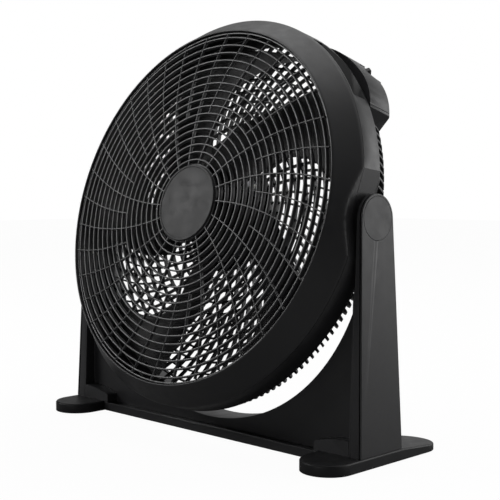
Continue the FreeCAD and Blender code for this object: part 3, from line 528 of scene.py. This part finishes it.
def make_guard():
    frame_bars = Solid()
    steps = 240
    for radius in GUARD_RINGS:
        clear = [p for p in circle(radius, GUARD_BACK_Y, steps, BOX_DIRECTION) if not under_box(p)]
        swept_bar(frame_bars, clear, guard_bar(GUARD_RING_WIDTH), looped=len(clear) == steps)
    turned(frame_bars, rounded(MOUNT_RING), segments=160)
    guard_rim(frame_bars)
    piece("guard_frame", frame_bars, "head", "guard_plastic", ["rear_guard"])
    bars = Solid()
    for i in range(GUARD_RIBS):
        r0 = GUARD_RIB_START if i % 2 == 0 else GUARD_RINGS[GUARD_SHORT_RIB_RING]
        swept_bar(bars, guard_rib(360.0 * i / GUARD_RIBS, r0), guard_bar(GUARD_RIB_WIDTH))
    for i in range(GUARD_RIBS * 2):
        degrees = 180.0 * i / GUARD_RIBS
        from_box = (degrees - BOX_DIRECTION + 180.0) % 360.0 - 180.0
        if not FIN_GAP[0] < from_box < FIN_GAP[1]:
            guard_fin(bars, degrees)
    piece("guard_ribs", bars, "head", "guard_plastic", [])


# ---------------------------------------------------------------- blower

BLADE_COUNT = 5
BLADE_TIP = 243.0
BLADE_ROOT = 44.8               # inside the wall of the hub cup
BLADE_EDGE = 0.45               # half thickness beside the two long edges
BLADE_SWELL = 0.75              # half thickness added in the middle
BLADE_BOW = 0.30                # hollow of the front face, as a share of the forward step
BLADE_SHARES = (0.0, 0.015, 0.08, 0.2, 0.35, 0.5, 0.65, 0.8, 0.92, 0.985, 1.0)
# Radius, direction of the rear and the front edge, how far forward the blade comes, and its middle depth.
BLADE_STATIONS = (
    (44.0, 42.0, 110.0, 28.0, -28.0),
    (95.0, 37.0, 84.0, 26.0, -24.0),
    (140.0, 34.0, 66.0, 23.0, -19.0),
    (185.0, 22.0, 53.0, 22.0, -15.5),
    (245.0, -8.0, 45.0, 21.0, -12.5),
)
HUB_CUP = ((4.2, -51.9, 0.4), (30, -51.9, 4), (42, -49, 3), (46, -43, 3), (46, -12.6, 0.8),
           (43.6, -12.6, 0.6), (43.6, -42, 2), (40, -46.3, 2), (12, -48.4, 1), (12, -16.1, 0.5),
           (4.2, -16.1, 0.3))


def station(radius):
    """Smooth value of every blade measure at a radius."""
    rows = BLADE_STATIONS
    k = sum(1 for row in rows[1:-1] if radius > row[0])
    a, b = rows[k], rows[k + 1]
    before, after = rows[max(0, k - 1)], rows[min(len(rows) - 1, k + 2)]
    t = (radius - a[0]) / (b[0] - a[0])
    values = []
    for n in range(1, 5):
        slope_a = (b[n] - before[n]) / (b[0] - before[0]) * (b[0] - a[0])
        slope_b = (after[n] - a[n]) / (after[0] - a[0]) * (b[0] - a[0])
        values.append(a[n] * (2 * t**3 - 3 * t**2 + 1) + slope_a * (t**3 - 2 * t**2 + t)
                      + b[n] * (3 * t**2 - 2 * t**3) + slope_b * (t**3 - t**2))
    return values


def blade_ring(radius, turn):
    """Closed section of a blade on a cylinder, thick in the middle and thin at the edges."""
    rear, front, step, middle = station(radius)
    around = [(s, 1) for s in BLADE_SHARES] + [(s, -1) for s in reversed(BLADE_SHARES[1:-1])]
    ring = []
    for share, side in around:
        hump = 4 * share * (1 - share)
        thick = BLADE_EDGE + BLADE_SWELL * hump if 0 < share < 1 else 0.0
        y = middle + step * (0.5 - share) + BLADE_BOW * step * hump + side * thick
        ring.append(polar(radius, turn + rear + (front - rear) * share, y))
    return ring


def make_impeller():
    moulding = Solid()
    steps = 36
    radii = [BLADE_ROOT + (BLADE_TIP - BLADE_ROOT) * k / steps for k in range(steps + 1)]
    for i in range(BLADE_COUNT):
        moulding.skin([blade_ring(radius, 360.0 / BLADE_COUNT * i) for radius in radii], looped=False)
    turned(moulding, rounded(HUB_CUP), segments=160)
    piece("impeller_moulding", moulding, "blower", "blade_plastic", ["impeller"], angle=50.0)


make_grille()
make_bezel()
make_guard()
make_impeller()

# ---------------------------------------------------------------- studio

FLOOR_HALF = 9.0
FLOOR_Z = -0.0003               # just under the pads
FLOOR_GREY = 0.32
FLOOR_GLOW = 1.12
FLOOR_GLOW_SHARE = 0.86         # of what the camera sees
LIGHT_FROM = (0.27, 0.85, 0.40)


def shader_mix(tree, share, a, b):
    """Shade a where share is 0 and b where it is 1."""
    made = node(tree, "ShaderNodeMixShader")
    for number, source in enumerate((share, a, b)):
        tree.links.new(source, made.inputs[number])
    return made.outputs[0]


def make_floor():
    """Pale floor, which the camera sees lighter than the light that it sends back under the fan."""
    mesh = bpy.data.meshes.new("floor")
    corners = [(x * FLOOR_HALF, y * FLOOR_HALF, 0) for x, y in ((-1, -1), (1, -1), (1, 1), (-1, 1))]
    mesh.from_pydata(corners, [], [(0, 1, 2, 3)])
    floor = add_object("floor", mesh)
    material = bpy.data.materials.new("floor_pale")
    material.use_nodes = True
    tree = material.node_tree
    tree.nodes.clear()
    out = node(tree, "ShaderNodeOutputMaterial")
    matt = node(tree, "ShaderNodeBsdfDiffuse", {"Color": (FLOOR_GREY, FLOOR_GREY, FLOOR_GREY, 1)})
    glow = node(tree, "ShaderNodeEmission", {"Strength": FLOOR_GLOW})
    path = node(tree, "ShaderNodeLightPath")
    share = node(tree, "ShaderNodeMath", {1: FLOOR_GLOW_SHARE}, operation="MULTIPLY")
    tree.links.new(path.outputs["Is Camera Ray"], share.inputs[0])
    both = shader_mix(tree, share.outputs[0], matt.outputs[0], glow.outputs[0])
    tree.links.new(both, out.inputs["Surface"])
    mesh.materials.append(material)
    floor.location.z = FLOOR_Z


def area_light(name, place, target, width, height, power):
    data = bpy.data.lights.new(name, "AREA")
    data.shape = "RECTANGLE"
    data.size = width
    data.size_y = height
    data.energy = power
    light = add_object(name, data)
    light.location = place
    light.rotation_euler = (Vector(target) - Vector(place)).to_track_quat("-Z", "Y").to_euler()


def make_world():
    """White to look at; the light that it gives comes from the back, the right and above."""
    world = bpy.data.worlds.new("studio")
    world.use_nodes = True
    bpy.context.scene.world = world
    tree = world.node_tree
    tree.nodes.clear()
    out = node(tree, "ShaderNodeOutputWorld")
    seen = node(tree, "ShaderNodeBackground", {"Color": (1, 1, 1, 1)})
    given = node(tree, "ShaderNodeBackground")
    coordinate = node(tree, "ShaderNodeTexCoord")
    dot = node(tree, "ShaderNodeVectorMath", {1: Vector(LIGHT_FROM).normalized()}, operation="DOT_PRODUCT")
    tree.links.new(coordinate.outputs["Generated"], dot.inputs[0])
    shade = node(tree, "ShaderNodeMapRange",
                 {"From Min": -0.08, "From Max": 0.85, "To Min": 0.012, "To Max": 0.85},
                 interpolation_type="SMOOTHSTEP")
    tree.links.new(dot.outputs["Value"], shade.inputs["Value"])
    tree.links.new(shade.outputs["Result"], given.inputs["Strength"])
    path = node(tree, "ShaderNodeLightPath")
    both = shader_mix(tree, path.outputs["Is Camera Ray"], given.outputs[0], seen.outputs[0])
    tree.links.new(both, out.inputs["Surface"])


def make_camera():
    """Three-quarter view from the front right, a little above the middle of the fan."""
    data = bpy.data.cameras.new("camera")
    data.sensor_width = 36.0
    data.lens = 76.2
    camera = add_object("camera", data)
    azimuth = math.radians(44.93)
    elevation = math.radians(3.32)
    distance = 1.470
    target = Vector((0.0588, PIVOT.y, 0.2617))
    level = math.cos(elevation)
    back = Vector((math.sin(azimuth) * level, -math.cos(azimuth) * level, math.sin(elevation)))
    camera.location = target + back * distance
    camera.rotation_euler = back.to_track_quat("Z", "Y").to_euler()
    bpy.context.scene.camera = camera


make_floor()
make_world()
make_camera()
area_light("key_right_back", (1.8, 2.7, 1.0), (0.1, 0, 0.35), 2.0, 2.0, 29)
area_light("top", (-0.4, 0.5, 2.6), (0, 0, 0.3), 2.2, 2.2, 17)
area_light("front_low", (0.5, -3.2, 0.5), (0, 0, 0.25), 1.6, 0.8, 11)
area_light("left_front", (-2.3, -2.0, 1.6), (0, 0, 0.35), 1.6, 1.0, 27)
bpy.context.scene.view_settings.view_transform = "Standard"
